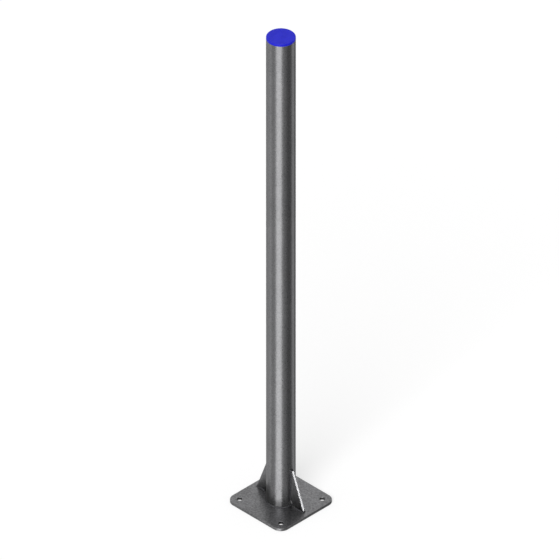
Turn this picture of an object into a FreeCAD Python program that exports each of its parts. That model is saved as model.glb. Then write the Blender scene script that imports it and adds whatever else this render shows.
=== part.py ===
import FreeCAD, Part
import os
from math import sqrt

from FreeCAD import Vector

# Steel post with base plate. The origin is on the ground under the middle of the plate, +Z is up
# and the two gussets stand along the X axis. All sizes are in millimetres.

# Post tube
tube_diameter = 76.1
tube_wall = 2.9
post_height = 1448.0
tube_end_chamfer = 0.4

# Base plate
plate_side = 200.0
plate_thickness = 8.0
plate_corner_radius = 25.0
plate_edge_round = 0.8
anchor_edge_distance = 25.0
anchor_hole_diameter = 14.0
hole_chamfer = 0.5

# Gussets
gusset_edge_distance = 16.95
gusset_height = 110.0
gusset_thickness = 6.0
gusset_toe = 5.0
gusset_top_flat = 5.0
gusset_snipe = 18.0
gusset_edge_round = 0.5

# Weld beads
ring_weld_leg = 3.0
gusset_weld_leg = 3.0
weld_crown = 0.4

# End cap
cap_head_height = 6.0
cap_head_inset = 0.1
cap_edge_round = 2.0
plug_length = 28.0
plug_wall = 2.2
plug_lead_in = 1.5
fin_count = 5
fin_depth = 4.0
fin_root = 1.8
fin_tip = 0.9
fin_rise = 1.2
fin_end_margin = 3.0
fin_clearance = 0.05

# Sizes that follow from those above
tube_radius = tube_diameter / 2
bore_radius = tube_radius - tube_wall
plate_top = plate_thickness
anchor_spacing = plate_side - 2 * anchor_edge_distance
gusset_foot = plate_side / 2 - gusset_edge_distance - tube_radius
gusset_half = gusset_thickness / 2
ground_centre = Vector(0, 0, 0)
up = Vector(0, 0, 1)
outward_x = Vector(1, 0, 0)
same_place = 1e-6


def cylinder(radius, bottom, top, x=0.0, y=0.0):
    """Upright cylinder between two heights."""
    return Part.makeCylinder(radius, top - bottom, Vector(x, y, bottom), up)


def closed_face(edges):
    """Flat face inside a closed run of edges."""
    return Part.Face(Part.Wire(Part.__sortEdges__(edges)))


def line(start, end):
    return Part.LineSegment(start, end).toShape()


def arc(start, middle, end):
    return Part.Arc(start, middle, end).toShape()


def at(radius, height):
    """Point on the half outline of a turned piece."""
    return Vector(radius, 0, height)


def edges_at_height(shape, height):
    """Edges that lie flat at one height."""
    return [e for e in shape.Edges if all(abs(v.Z - height) < same_place for v in e.Vertexes)]


def upright_edges(shape):
    """Straight edges that run along Z."""
    return [e for e in shape.Edges if e.tangentAt(e.FirstParameter).cross(up).Length < same_place]


def base_plate():
    """Square plate with rounded corners, softened rims and four anchor holes."""
    half = plate_side / 2
    plate = Part.makeBox(plate_side, plate_side, plate_thickness, Vector(-half, -half, 0))
    plate = plate.makeFillet(plate_corner_radius, upright_edges(plate))
    rims = edges_at_height(plate, 0) + edges_at_height(plate, plate_top)
    plate = plate.makeFillet(plate_edge_round, rims)
    offset = anchor_spacing / 2
    for x in (-offset, offset):
        for y in (-offset, offset):
            plate = plate.cut(chamfered_hole(anchor_hole_diameter / 2, x, y))
    return plate


def chamfered_hole(radius, x, y):
    """Cutter for a hole through the plate whose two rims are broken by a small chamfer."""
    hole = cylinder(radius, 0, plate_top, x, y)
    wide = radius + hole_chamfer
    lower = Part.makeCone(wide, radius, hole_chamfer, Vector(x, y, 0), up)
    upper_start = Vector(x, y, plate_top - hole_chamfer)
    upper = Part.makeCone(radius, wide, hole_chamfer, upper_start, up)
    return hole.fuse([lower, upper])


def post_tube():
    """Round tube that stands on the plate, with its cut top edge deburred inside and outside."""
    tube = cylinder(tube_radius, plate_top, post_height).cut(cylinder(bore_radius, plate_top, post_height))
    return tube.makeChamfer(tube_end_chamfer, edges_at_height(tube, post_height))


def gusset():
    """Stiffener on the +X side: sloped edge, blunt toe, small flat on top and a cut inner corner."""
    toe_x = tube_radius + gusset_foot
    top = plate_top + gusset_height
    slope_foot = Vector(toe_x, -gusset_half, plate_top + gusset_toe)
    slope_head = Vector(tube_radius + gusset_top_flat, -gusset_half, top)
    outline = [
        Vector(tube_radius, -gusset_half, plate_top + gusset_snipe),
        Vector(tube_radius + gusset_snipe, -gusset_half, plate_top),
        Vector(toe_x, -gusset_half, plate_top),
        slope_foot,
        slope_head,
        Vector(tube_radius, -gusset_half, top),
    ]
    blank = Part.Face(Part.makePolygon(outline + outline[:1])).extrude(Vector(0, gusset_thickness, 0))
    slope_middle = (slope_foot + slope_head) * 0.5
    long_edges = [e for e in blank.Edges if on_slope(e, slope_middle)]
    return blank.makeFillet(gusset_edge_round, long_edges)


def on_slope(edge, slope_middle):
    """True for the two long edges of the gusset's sloped face."""
    middle = edge.CenterOfMass
    return abs(middle.x - slope_middle.x) < same_place and abs(middle.z - slope_middle.z) < same_place


def bead_profile(corner, outward, normal, leg, root):
    """Cross-section of a fillet weld in the corner between a wall and the surface it stands on.

    The bead has one leg along the surface and one up the wall, with a crowned face between them.
    The root goes below the surface, for a surface that curves away and trims the bead later.
    """
    foot = corner + outward * leg
    head = corner + normal * leg
    crown = (foot + head) * 0.5 + (outward + normal) * (weld_crown / sqrt(2))
    edges = [arc(foot, crown, head)]
    if root > 0:
        low_foot = foot - normal * root
        low_corner = corner - normal * root
        edges += [line(head, low_corner), line(low_corner, low_foot), line(low_foot, foot)]
    else:
        edges += [line(head, corner), line(corner, foot)]
    return closed_face(edges)


def wrapped_bead(path, normal, leg, root=0.0):
    """Fillet weld that follows a path round a plate's edge, with rounded corners and rounded ends."""
    runs = []
    for start, end in zip(path, path[1:]):
        heading = (end - start).normalize()
        outward = heading.cross(normal)
        section = bead_profile(start, outward, normal, leg, root)
        runs.append(section.extrude(end - start))
        runs.append(section.revolve(start, normal, -90))
    last = bead_profile(path[-1], outward, normal, leg, root)
    runs.append(last.revolve(path[-1], normal, 90))
    return runs[0].fuse(runs[1:]).removeSplitter()


def tube_foot_weld():
    """Ring weld round the tube's foot."""
    corner = Vector(tube_radius, 0, plate_top)
    section = bead_profile(corner, outward_x, up, ring_weld_leg, 0.0)
    return section.revolve(ground_centre, up, 360)


def gusset_foot_weld():
    """Bead on the plate along both sides of the gusset and round its toe."""
    inner_x = tube_radius + gusset_snipe
    toe_x = tube_radius + gusset_foot
    path = [
        Vector(inner_x, -gusset_half, plate_top),
        Vector(toe_x, -gusset_half, plate_top),
        Vector(toe_x, gusset_half, plate_top),
        Vector(inner_x, gusset_half, plate_top),
    ]
    return wrapped_bead(path, up, gusset_weld_leg)


def gusset_web_weld():
    """Bead on the tube up both sides of the gusset's inner edge and over its top."""
    low = plate_top + gusset_snipe
    high = plate_top + gusset_height
    path = [
        Vector(tube_radius, gusset_half, low),
        Vector(tube_radius, gusset_half, high),
        Vector(tube_radius, -gusset_half, high),
        Vector(tube_radius, -gusset_half, low),
    ]
    half_width = gusset_half + gusset_weld_leg
    curve_drop = tube_radius - sqrt(tube_radius ** 2 - half_width ** 2)
    bead = wrapped_bead(path, outward_x, gusset_weld_leg, root=2 * curve_drop)
    return bead.cut(cylinder(tube_radius, 0, post_height))


def end_cap():
    """Plastic cap turned from one outline: rounded head, hollow plug and fins that grip the bore."""
    head_radius = tube_radius - cap_head_inset
    head_top = post_height + cap_head_height
    plug_bottom = post_height - plug_length
    core_radius = bore_radius - fin_depth
    hollow_radius = core_radius - plug_wall
    rim = head_radius - cap_edge_round
    rim_middle = cap_edge_round / sqrt(2)
    outline = [at(0, post_height), at(0, head_top), at(rim, head_top)]
    edges = [line(a, b) for a, b in zip(outline, outline[1:])]
    rim_low = head_top - cap_edge_round
    rounded = at(rim + rim_middle, rim_low + rim_middle)
    edges.append(arc(at(rim, head_top), rounded, at(head_radius, rim_low)))
    side = [at(head_radius, rim_low), at(head_radius, post_height), at(core_radius, post_height)]
    for root_top in fin_heights():
        side += fin_outline(core_radius, root_top)
    side += [
        at(core_radius, plug_bottom + plug_lead_in),
        at(core_radius - plug_lead_in, plug_bottom),
        at(hollow_radius, plug_bottom),
        at(hollow_radius, post_height),
        at(0, post_height),
    ]
    edges += [line(a, b) for a, b in zip(side, side[1:])]
    return closed_face(edges).revolve(ground_centre, up, 360)


def fin_heights():
    """Heights of the top of each fin's root, from the head down."""
    first = post_height - fin_end_margin
    last = post_height - plug_length + plug_lead_in + fin_end_margin
    pitch = (first - last) / (fin_count - 1)
    return [first - k * pitch for k in range(fin_count)]


def fin_outline(core_radius, root_top):
    """Four corners of one fin: it leans towards the head and thins towards its tip."""
    tip_radius = bore_radius - fin_clearance
    tip_middle = root_top - fin_root / 2 + fin_rise
    return [
        at(core_radius, root_top),
        at(tip_radius, tip_middle + fin_tip / 2),
        at(tip_radius, tip_middle - fin_tip / 2),
        at(core_radius, root_top - fin_root),
    ]


def opposite(shape):
    """The same piece on the -X side."""
    return shape.mirror(ground_centre, outward_x)


def build():
    """Every piece by its node name."""
    return {
        "base_plate": base_plate(),
        "post_tube": post_tube(),
        "gusset_right": gusset(),
        "gusset_left": opposite(gusset()),
        "tube_foot_weld": tube_foot_weld(),
        "gusset_right_foot_weld": gusset_foot_weld(),
        "gusset_left_foot_weld": opposite(gusset_foot_weld()),
        "gusset_right_web_weld": gusset_web_weld(),
        "gusset_left_web_weld": opposite(gusset_web_weld()),
        "end_cap": end_cap(),
    }


os.makedirs("parts", exist_ok=True)
for node, shape in build().items():
    solid = shape.Solids[0]
    print(node, len(shape.Solids), "solid, valid", solid.isValid(), "volume", round(solid.Volume, 1))
    solid.exportStep("parts/" + node + ".step")
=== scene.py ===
import math

import bmesh
import bpy
from mathutils import Matrix, Vector


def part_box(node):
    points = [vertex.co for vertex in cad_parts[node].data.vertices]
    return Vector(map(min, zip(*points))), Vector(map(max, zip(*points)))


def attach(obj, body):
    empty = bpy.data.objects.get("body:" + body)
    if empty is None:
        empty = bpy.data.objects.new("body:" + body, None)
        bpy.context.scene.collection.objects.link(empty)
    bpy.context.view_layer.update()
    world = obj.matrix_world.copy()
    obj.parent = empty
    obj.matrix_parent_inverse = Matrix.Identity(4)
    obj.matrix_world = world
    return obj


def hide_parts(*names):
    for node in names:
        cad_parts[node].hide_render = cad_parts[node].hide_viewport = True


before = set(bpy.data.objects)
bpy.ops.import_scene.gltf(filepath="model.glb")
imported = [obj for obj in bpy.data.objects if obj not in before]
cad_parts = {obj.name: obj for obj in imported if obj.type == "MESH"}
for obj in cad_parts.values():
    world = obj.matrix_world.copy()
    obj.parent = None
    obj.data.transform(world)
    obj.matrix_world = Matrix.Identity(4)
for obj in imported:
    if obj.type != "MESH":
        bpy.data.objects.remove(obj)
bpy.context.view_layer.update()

# Camera: far away behind a long lens, so that parallel edges stay parallel as in the photograph
view_azimuth = math.radians(45)
view_elevation = math.atan(1 / math.sqrt(2))
lens_mm = 1500
sensor_mm = 36
camera_distance = 59.596
aim_height = 0.6975
aim_left = 0.00236
clip_far = 200

# Studio: a white dome, a soft key beside the camera, and rings of cards that only reflections see.
# Bearings are turned from the camera's own side of the post, positive to the camera's right.
dome_level = 0.55
key_strength = 2.3
key_spread = math.radians(34)
key_bearing = math.radians(-17)
key_elevation = math.radians(37)
key_distance = 5

# Rings of cards round the post: bearing in degrees and level of each card, up to the next bearing
# Heel: its low levels are painted shade at the tube's foot, its brighter cards painted reflections that
# the foot shows in place of the plate
heel_ring = ((-180, 0.12), (-28, 0.75), (3, 0.12), (60, 1.2), (130, 0.12), (180, 0))
# Under the plate: the low levels are painted shade, the dark ground in the plate's shadow that the hole
# walls, the tube's foot and the gussets mirror
under_shade_ring = ((5, 0.26), (45, 0.2), (180, 0.18), (284, 0.34), (327, 0))
glint_ring = ((-33, 2.4), (5, 0))
skirt_ring = ((-180, 0.83), (-6, 2.4), (0.5, 0.42), (180, 0))
front_and_sides = (
    (-140, 0.95), (-108, 0.85), (-95, 1.0), (-76, 0.63), (-37, 2.35),
    (6, 0.6), (24, 0.4), (45, 0.21), (90, 0.76), (104, 0.95),
)
card_ring = ((-180, 1.6), (-160, 0.5), *front_and_sides, (122, 0.38), (160, 1.6), (180, 0))
far_ring = ((-180, 1.8), (-155, 0.6), *front_and_sides, (122, 0.4), (155, 1.8), (180, 0))
panel_ring = ((60, 28), (100, 0))
wall_ring = ((50, 0.2), (115, 1.0), (145, 1.12), (215, 0))
brow_ring = ((-70, 0.45), (50, 0))
flag_ring = ((-38, 0), (3, 0))

# Level from which a card is sampled as a lamp
lamp_level = 5

# Sizes and places of the cards, with their widest step in degrees
card_step = 3
card_height = 0.001
under_height = 0.0015
heel_outside = 0.078
skirt_width = 0.012
card_middle = 2.3
card_far = 6.0
card_top = 1.25
wall_top = 8.6
brow_top = 2.1
flag_foot = 3.6
flag_top = 6.2
panel_distance = 5.6
panel_top = 0.4

# Floor
floor_half = 6.0
floor_colour = 0.5
floor_lift = 0.52

# Steel
steel_dark = (0.171, 0.171, 0.176)
steel_light = (0.229, 0.229, 0.234)
plate_dark = (0.113, 0.113, 0.116)
plate_light = (0.235, 0.235, 0.24)
gusset_dark = (0.152, 0.152, 0.156)
gusset_light = (0.228, 0.228, 0.233)
tube_rough = (0.27, 0.29)
plate_rough = (0.33, 0.36)
gusset_rough = (0.34, 0.355)
# Weld metal, darker than the steel: partly the beads' own tone, partly painted shade that makes them
# read as a dark contact line in the joints at the tube's foot and along the gussets
weld_shaded_dark = (0.03, 0.03, 0.032)
weld_shaded_light = (0.062, 0.062, 0.066)
weld_rough = (0.45, 0.6)
edge_gloss = 0.6
rolled_depth = 0.00004
sheared_depth = 0.000008
grain_depth = 0.000004
mottle_scale = 14
mottle_detail = 4
mottle_weight = 0.3
peel_scale = 170
peel_detail = 3
speckle_scale = 220
speckle_detail = 6
speckle_weight = 0.7
grain_scale = 900
grain_detail = 2

# Plastic
plastic_dark = (0.009, 0.011, 0.49)
plastic_light = (0.014, 0.016, 0.56)
plastic_rough = (0.4, 0.52)
plastic_gloss = 0.18
cloud_scale = 45
cloud_detail = 3
satin_scale = 1800
satin_detail = 2
satin_depth = 0.00001

# Middle stretches of a noise, over which a colour or a number runs from one end to the other
colour_stretch = (0.35, 0.65)
value_stretch = (0.3, 0.7)

# Weld beads
ripple_pitch = 0.0022
ripple_height = 0.00016
ripple_lag = 0.45
crown = 0.00034
toe_wander = 0.06
steps_per_ripple = 6
fewest_steps = 2
fewest_turn_steps = 4
face_points = 7
end_share = 0.35
bead_sharp = math.radians(50)

# Tube
tube_wall = 0.0029
tube_chamfer = 0.0004
tube_steps = 240
tube_sharp = math.radians(30)

# Plate
plate_corner = 0.025

# Sizes read from the frame
plate_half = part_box("base_plate")[1].x
plate_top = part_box("base_plate")[1].z
tube_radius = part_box("post_tube")[1].x

# Direction up, and the distance under which two points are one
up = Vector((0, 0, 1))
same_place = 1e-7


# Shader helpers

def new_material(name):
    """Material with its node tree and its main shader."""
    material = bpy.data.materials.new(name)
    material.use_nodes = True
    tree = material.node_tree
    return material, tree, tree.nodes["Principled BSDF"]


def noise(tree, scale, detail):
    """Noise in the part's own coordinates, in metres."""
    place = tree.nodes.new("ShaderNodeTexCoord")
    texture = tree.nodes.new("ShaderNodeTexNoise")
    texture.inputs["Scale"].default_value = scale
    texture.inputs["Detail"].default_value = detail
    tree.links.new(place.outputs["Object"], texture.inputs["Vector"])
    return texture.outputs["Fac"]


def combine(tree, operation, first, second):
    """Math node on two sockets, or on a socket and a number."""
    node = tree.nodes.new("ShaderNodeMath")
    node.operation = operation
    for socket, value in zip(node.inputs, (first, second)):
        if isinstance(value, (int, float)):
            socket.default_value = value
        else:
            tree.links.new(value, socket)
    return node.outputs["Value"]


def between_colours(tree, value, dark, light):
    """Colour that runs from dark to light over the middle of a noise."""
    ramp = tree.nodes.new("ShaderNodeValToRGB")
    for end, place, colour in zip(ramp.color_ramp.elements, colour_stretch, (dark, light)):
        end.position = place
        end.color = (*colour, 1)
    tree.links.new(value, ramp.inputs["Fac"])
    return ramp.outputs["Color"]


def between_values(tree, value, low, high):
    """Number that runs from low to high over the middle of a noise."""
    span = tree.nodes.new("ShaderNodeMapRange")
    span.inputs["From Min"].default_value = value_stretch[0]
    span.inputs["From Max"].default_value = value_stretch[1]
    span.inputs["To Min"].default_value = low
    span.inputs["To Max"].default_value = high
    tree.links.new(value, span.inputs["Value"])
    return span.outputs["Result"]


def bump(tree, height, distance, under=None):
    """Bump of a given depth in metres, on top of another one if there is one."""
    node = tree.nodes.new("ShaderNodeBump")
    node.inputs["Strength"].default_value = 1.0
    node.inputs["Distance"].default_value = distance
    tree.links.new(height, node.inputs["Height"])
    if under is not None:
        tree.links.new(under, node.inputs["Normal"])
    return node.outputs["Normal"]


# Materials

def steel_material(name, dark, light, rough, depth):
    """Dull grey steel: mottled and speckled tone, fine grain and a slightly uneven surface."""
    material, tree, surface = new_material(name)
    mottle = noise(tree, mottle_scale, mottle_detail)
    peel = noise(tree, peel_scale, peel_detail)
    speckle = noise(tree, speckle_scale, speckle_detail)
    grain = noise(tree, grain_scale, grain_detail)
    broad = combine(tree, "MULTIPLY", mottle, mottle_weight)
    fine = combine(tree, "MULTIPLY", speckle, speckle_weight)
    tone = combine(tree, "ADD", broad, fine)
    tree.links.new(between_colours(tree, tone, dark, light), surface.inputs["Base Color"])
    tree.links.new(between_values(tree, speckle, *rough), surface.inputs["Roughness"])
    uneven = bump(tree, peel, depth)
    tree.links.new(bump(tree, grain, grain_depth, uneven), surface.inputs["Normal"])
    surface.inputs["Metallic"].default_value = 1.0
    surface.inputs["Specular Tint"].default_value = (edge_gloss, edge_gloss, edge_gloss, 1)
    return material


def plastic_material():
    """Blue moulded plastic with a satin grain."""
    material, tree, surface = new_material("blue_plastic")
    cloud = noise(tree, cloud_scale, cloud_detail)
    satin = noise(tree, satin_scale, satin_detail)
    tone = between_colours(tree, cloud, plastic_dark, plastic_light)
    tree.links.new(tone, surface.inputs["Base Color"])
    tree.links.new(between_values(tree, satin, *plastic_rough), surface.inputs["Roughness"])
    tree.links.new(bump(tree, satin, satin_depth), surface.inputs["Normal"])
    surface.inputs["Specular IOR Level"].default_value = plastic_gloss
    return material


def glow_material(name, level):
    """Surface that only gives off light.

    A very bright one is sampled as a lamp, which keeps its reflection smooth.
    """
    material, tree, surface = new_material(name)
    tree.nodes.remove(surface)
    glow = tree.nodes.new("ShaderNodeEmission")
    glow.inputs["Strength"].default_value = level
    tree.links.new(glow.outputs["Emission"], tree.nodes["Material Output"].inputs["Surface"])
    if level < lamp_level:
        material.cycles.emission_sampling = "NONE"
    return material


def seen_by_eye_or_mirror(tree):
    """1 for camera, glossy and transmission rays, 0 for the rays that light things."""
    path = tree.nodes.new("ShaderNodeLightPath")
    direct = combine(tree, "ADD", path.outputs["Is Camera Ray"], path.outputs["Is Glossy Ray"])
    return combine(tree, "ADD", direct, path.outputs["Is Transmission Ray"])


def floor_material():
    """Pale floor that takes shadows and is lifted to white where it is looked at."""
    material, tree, surface = new_material("floor")
    tree.nodes.remove(surface)
    matt = tree.nodes.new("ShaderNodeBsdfDiffuse")
    matt.inputs["Color"].default_value = (floor_colour, floor_colour, floor_colour, 1)
    lift = tree.nodes.new("ShaderNodeEmission")
    strength = combine(tree, "MULTIPLY", seen_by_eye_or_mirror(tree), floor_lift)
    tree.links.new(strength, lift.inputs["Strength"])
    both = tree.nodes.new("ShaderNodeAddShader")
    tree.links.new(matt.outputs["BSDF"], both.inputs[0])
    tree.links.new(lift.outputs["Emission"], both.inputs[1])
    tree.links.new(both.outputs["Shader"], tree.nodes["Material Output"].inputs["Surface"])
    material.cycles.emission_sampling = "NONE"
    return material


def dress(node, material):
    """Gives a CAD node its material."""
    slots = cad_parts[node].data.materials
    slots.clear()
    slots.append(material)


# Weld beads and tube, which stand for CAD nodes

def straight(start, end, normal):
    """Stations along a straight run: corner, outward direction, length so far and share of the leg."""
    heading = (end - start).normalized()
    length = (end - start).length
    count = max(fewest_steps, round(length / ripple_pitch * steps_per_ripple))
    outward = heading.cross(normal)
    return [(start.lerp(end, k / count), outward, length * k / count, 1.0) for k in range(count + 1)]


def turn(corner, first, normal, leg, start_share=1.0, last_share=1.0):
    """Stations of a quarter turn round a corner, from a first outward direction and share of the leg."""
    quarter = math.pi / 2
    length = leg / 2 * quarter
    count = max(fewest_turn_steps, round(length / ripple_pitch * steps_per_ripple))
    stations = []
    for k in range(count + 1):
        outward = Matrix.Rotation(quarter * k / count, 3, normal) @ first
        share = start_share + (last_share - start_share) * k / count
        stations.append((corner, outward, length * k / count, share))
    return stations


def chained(runs):
    """One list of stations from several runs, with the length counted on from run to run."""
    stations = []
    gone = 0.0
    for run in runs:
        stations += [(corner, outward, gone + length, share) for corner, outward, length, share in run]
        gone += run[-1][2]
    return stations


def wrapped_path(points, normal, leg):
    """Stations of a bead that turns at each corner and tapers off in a quarter turn at both ends."""
    runs = []
    for start, end in zip(points, points[1:]):
        heading = (end - start).normalized()
        if runs:
            runs.append(turn(start, runs[-1][-1][1], normal, leg))
        else:
            runs.append(turn(start, -heading, normal, leg, start_share=end_share))
        runs.append(straight(start, end, normal))
    runs.append(turn(points[-1], runs[-1][-1][1], normal, leg, last_share=end_share))
    return chained(runs)


def ring_path(radius, height):
    """Stations round the tube, the last one short of the first."""
    length = 2 * math.pi * radius
    ripples = round(length / ripple_pitch)
    count = ripples * steps_per_ripple
    stations = []
    for k in range(count):
        angle = 2 * math.pi * k / count
        outward = Vector((math.cos(angle), math.sin(angle), 0))
        corner = outward * radius + up * height
        stations.append((corner, outward, ripples * ripple_pitch * k / count, 1.0))
    return stations


def bead_section(corner, outward, normal, length, leg):
    """Points of one cross-section: the corner, then the crowned face from the foot to the head."""
    turns = length / ripple_pitch
    reach = leg * (1 - toe_wander * (0.5 + 0.5 * math.sin(2 * math.pi * turns)))
    foot = corner + outward * reach
    head = corner + normal * reach
    bulge = (outward + normal).normalized()
    points = [corner]
    for k in range(face_points):
        share = k / (face_points - 1)
        arch = 4 * share * (1 - share)
        wave = math.sin(2 * math.pi * (turns - ripple_lag * arch))
        points.append(foot.lerp(head, share) + bulge * (arch * (crown + ripple_height * wave)))
    return points


def ringed_piece(name, node, rings, closed, sharp_angle, material):
    """Smooth piece through rings of points, which stands for a CAD node of the post."""
    mesh = bmesh.new()
    rings = [[mesh.verts.new(point) for point in ring] for ring in rings]
    following = rings[1:] + rings[:1] if closed else rings[1:]
    for ring, after in zip(rings, following):
        for k in range(len(ring)):
            n = (k + 1) % len(ring)
            mesh.faces.new((ring[k], after[k], after[n], ring[n]))
    if not closed:
        mesh.faces.new(rings[0])
        mesh.faces.new(rings[-1])
    bmesh.ops.remove_doubles(mesh, verts=mesh.verts, dist=same_place)
    bmesh.ops.recalc_face_normals(mesh, faces=mesh.faces)
    data = bpy.data.meshes.new(name)
    mesh.to_mesh(data)
    mesh.free()
    data.shade_smooth()
    data.set_sharp_from_angle(angle=sharp_angle)
    data.materials.append(material)
    piece = bpy.data.objects.new(name, data)
    bpy.context.scene.collection.objects.link(piece)
    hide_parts(node)
    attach(piece, "post")
    return piece


def bead(node, stations, normal, leg, closed, curve_radius=None):
    """Rippled weld bead that stands for a node, bent onto a round wall where it lies on one."""
    rings = []
    for corner, outward, length, share in stations:
        ring = bead_section(corner, outward, normal, length, leg * share)
        if curve_radius:
            ring = [p - normal * (curve_radius - math.sqrt(curve_radius ** 2 - p.y ** 2)) for p in ring]
        rings.append(ring)
    ringed_piece(node + "_bead", node, rings, closed, bead_sharp, weld)


def ring_bead():
    """Bead round the tube's foot."""
    low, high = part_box("tube_foot_weld")
    leg = high.z - low.z
    bead("tube_foot_weld", ring_path(tube_radius, plate_top), up, leg, closed=True)


def foot_bead(node, side):
    """Bead round one gusset's foot."""
    low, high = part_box("gusset_right_foot_weld")
    leg = high.z - low.z
    inner, toe, half = low.x + leg, high.x - leg, high.y - leg
    points = [Vector((side * x, side * y, plate_top)) for x, y in
              ((inner, -half), (toe, -half), (toe, half), (inner, half))]
    bead(node, wrapped_path(points, up, leg), up, leg, closed=False)


def web_bead(node, side):
    """Bead on the tube, up one gusset's sides and over its top."""
    low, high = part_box("gusset_right_web_weld")
    leg = high.x - tube_radius
    half, bottom, top = high.y - leg, low.z + leg, high.z - leg
    normal = Vector((side, 0, 0))
    points = [Vector((side * tube_radius, side * y, z)) for y, z in
              ((half, bottom), (half, top), (-half, top), (-half, bottom))]
    bead(node, wrapped_path(points, normal, leg), normal, leg, closed=False, curve_radius=tube_radius)


def round_tube():
    """Tube turned finely enough that its reflections run smoothly, with the CAD tube's sizes."""
    low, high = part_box("post_tube")
    inner = tube_radius - tube_wall
    cut = high.z - tube_chamfer
    outline = (
        (inner, low.z),
        (tube_radius, low.z),
        (tube_radius, cut),
        (tube_radius - tube_chamfer, high.z),
        (inner + tube_chamfer, high.z),
        (inner, cut),
    )
    rings = []
    for k in range(tube_steps):
        angle = 2 * math.pi * k / tube_steps
        rings.append([Vector((r * math.cos(angle), r * math.sin(angle), z)) for r, z in outline])
    name = "post_tube_round"
    return ringed_piece(name, "post_tube", rings, True, tube_sharp, tube_steel)


# Studio

def bearing_vector(bearing, elevation=0.0):
    """Direction from the post, by its bearing from the camera's side and its elevation."""
    angle = view_azimuth - math.pi / 2 + bearing
    level = math.cos(elevation)
    return Vector((level * math.cos(angle), level * math.sin(angle), math.sin(elevation)))


def aimed(thing, place, target):
    """Puts a camera or a lamp in place, looking at a point."""
    thing.location = place
    thing.rotation_euler = (target - place).to_track_quat("-Z", "Y").to_euler()
    bpy.context.scene.collection.objects.link(thing)


def make_camera():
    """Camera at the photograph's angle, with the post a little right of its middle."""
    data = bpy.data.cameras.new("camera")
    data.lens = lens_mm
    data.sensor_width = sensor_mm
    data.clip_end = clip_far
    camera = bpy.data.objects.new("camera", data)
    right = bearing_vector(math.pi / 2)
    target = up * aim_height - right * aim_left
    aimed(camera, target + bearing_vector(0, view_elevation) * camera_distance, target)
    bpy.context.scene.camera = camera


def make_world():
    """White dome: full white to the eye and in reflections, a plain level as light."""
    world = bpy.data.worlds.new("dome")
    world.use_nodes = True
    tree = world.node_tree
    rest = combine(tree, "MULTIPLY", seen_by_eye_or_mirror(tree), 1 - dome_level)
    background = tree.nodes["Background"]
    background.inputs["Color"].default_value = (1, 1, 1, 1)
    tree.links.new(combine(tree, "ADD", rest, dome_level), background.inputs["Strength"])
    bpy.context.scene.world = world


def make_key():
    """Broad, soft key lamp."""
    key = bpy.data.lights.new("key", "SUN")
    key.energy = key_strength
    key.angle = key_spread
    middle = up * aim_height
    place = middle + bearing_vector(key_bearing, key_elevation) * key_distance
    aimed(bpy.data.objects.new("key", key), place, middle)


def stage_mesh(name, points, faces, material):
    """Piece of the stage from its points and faces."""
    data = bpy.data.meshes.new(name)
    data.from_pydata(points, [], faces)
    data.materials.append(material)
    piece = bpy.data.objects.new(name, data)
    bpy.context.scene.collection.objects.link(piece)
    return piece


def make_floor():
    """Square floor under the post."""
    half = floor_half
    corners = [(-half, -half, 0), (half, -half, 0), (half, half, 0), (-half, half, 0)]
    stage_mesh("floor", corners, [range(len(corners))], floor_material())


def plate_edge(away):
    """Distance from the post's middle line to the plate's rounded outline in one direction."""
    x, y = abs(away.x), abs(away.y)
    straight_side = plate_half / max(x, y)
    middle = plate_half - plate_corner
    if straight_side * min(x, y) <= middle:
        return straight_side
    along = (x + y) * middle
    return along + math.sqrt(along ** 2 - 2 * middle ** 2 + plate_corner ** 2)


def make_card(name, first, last, level, outline):
    """Card between two bearings, in degrees, that only reflections see.

    The outline gives the distance and height of each of its edges from the distance of the plate's edge.
    """
    count = math.ceil((last - first) / card_step)
    points = []
    for k in range(count + 1):
        away = bearing_vector(math.radians(first + (last - first) * k / count))
        edges = outline(plate_edge(away))
        points += [away * distance + up * height for distance, height in edges]
    rows = len(edges)
    faces = []
    for k in range(count):
        for r in range(rows - 1):
            low = k * rows + r
            faces.append((low, low + 1, low + 1 + rows, low + rows))
    card = stage_mesh(name, points, faces, glow_material(name, level))
    card.visible_camera = False
    card.visible_diffuse = False
    card.visible_transmission = False
    card.visible_shadow = False
    return card


def make_ring(name, ring, outline):
    """Cards of one ring, each from its bearing to the next one's."""
    cards = []
    for k, (first, level) in enumerate(ring[:-1]):
        cards.append(make_card("%s_%d" % (name, k), first, ring[k + 1][0], level, outline))
    return cards


def heel_outline(edge):
    """Ground under the plate next to the tube, which the very foot of the tube mirrors in place of the
    plate: painted shade at the foot and painted reflections.
    """
    return (tube_radius, under_height), (heel_outside, under_height)


def under_outline(edge):
    """Ground under the rest of the plate, mirrored by the tube's foot, the gussets and the holes."""
    return (heel_outside, under_height), (edge, under_height)


def skirt_outline(edge):
    """Strip of floor along the plate's edge, which the plate's side faces mirror."""
    return (edge, card_height), (edge + skirt_width, card_height)


def card_outline(edge):
    """Floor from the skirt on, which the tube mirrors when it is seen from above."""
    return (edge + skirt_width, card_height), (card_middle, card_height)


def far_outline(edge):
    """Floor further out and its upright end, which the tube mirrors when it is seen from lower down."""
    return (card_middle, card_height), (card_far, card_height), (card_far, card_top)


def wall_outline(edge):
    """Upright wall on the cards: dark at the right for the plate's rim, white behind for its top."""
    return (card_far, card_top), (card_far, wall_top)


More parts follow.
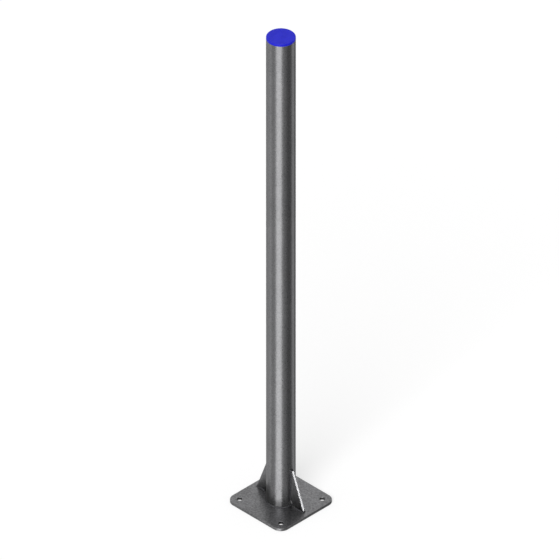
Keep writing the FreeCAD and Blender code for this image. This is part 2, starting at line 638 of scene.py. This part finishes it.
def brow_outline(edge):
    """Low dark strip on top of the front cards, which the plate mirrors when it is seen from behind."""
    return (card_far, card_top), (card_far, brow_top)


def flag_outline(edge):
    """High black flag at the front, which dims the tube's mirror image in the plate."""
    return (card_far, flag_foot), (card_far, flag_top)


def panel_outline(edge):
    """Upright panel, which the sloped edge of the right gusset mirrors."""
    return (panel_distance, card_height), (panel_distance, panel_top)


def light_only(cards, name, pieces):
    """Lets cards light some pieces. All others see these cards as black."""
    receivers = bpy.data.collections.new(name)
    for piece in pieces:
        receivers.objects.link(piece)
    for card in cards:
        card.light_linking.receiver_collection = receivers


def make_cards(tube):
    """All the cards. The metal mirrors those under the plate in place of the plate itself."""
    gussets = [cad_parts["gusset_right"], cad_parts["gusset_left"]]
    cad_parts["base_plate"].visible_glossy = False
    light_only(make_ring("heel", heel_ring, heel_outline), "tube", [tube])
    light_only(make_ring("glint", glint_ring, under_outline), "tube_and_gussets", [tube] + gussets)
    # Painted shade of the ground under the plate
    make_ring("under", under_shade_ring, under_outline)
    make_ring("skirt", skirt_ring, skirt_outline)
    make_ring("card", card_ring, card_outline)
    make_ring("far", far_ring, far_outline)
    light_only(make_ring("panel", panel_ring, panel_outline), "gussets", gussets)
    make_ring("flag", flag_ring, flag_outline)
    make_ring("wall", wall_ring, wall_outline)
    make_ring("brow", brow_ring, brow_outline)


# The post

tube_steel = steel_material("tube_steel", steel_dark, steel_light, tube_rough, rolled_depth)
plate_steel = steel_material("plate_steel", plate_dark, plate_light, plate_rough, rolled_depth)
gusset_steel = steel_material("gusset_steel", gusset_dark, gusset_light, gusset_rough, sheared_depth)
# Weld beads: their dark tone is partly their own and partly painted contact shade in the joints
weld = steel_material("weld_metal", weld_shaded_dark, weld_shaded_light, weld_rough, rolled_depth)

dress("base_plate", plate_steel)
dress("gusset_right", gusset_steel)
dress("gusset_left", gusset_steel)
dress("end_cap", plastic_material())

tube = round_tube()
ring_bead()
foot_bead("gusset_right_foot_weld", 1)
foot_bead("gusset_left_foot_weld", -1)
web_bead("gusset_right_web_weld", 1)
web_bead("gusset_left_web_weld", -1)

# Its stage

make_camera()
make_world()
make_key()
make_floor()
make_cards(tube)
bpy.context.scene.view_settings.view_transform = "Standard"
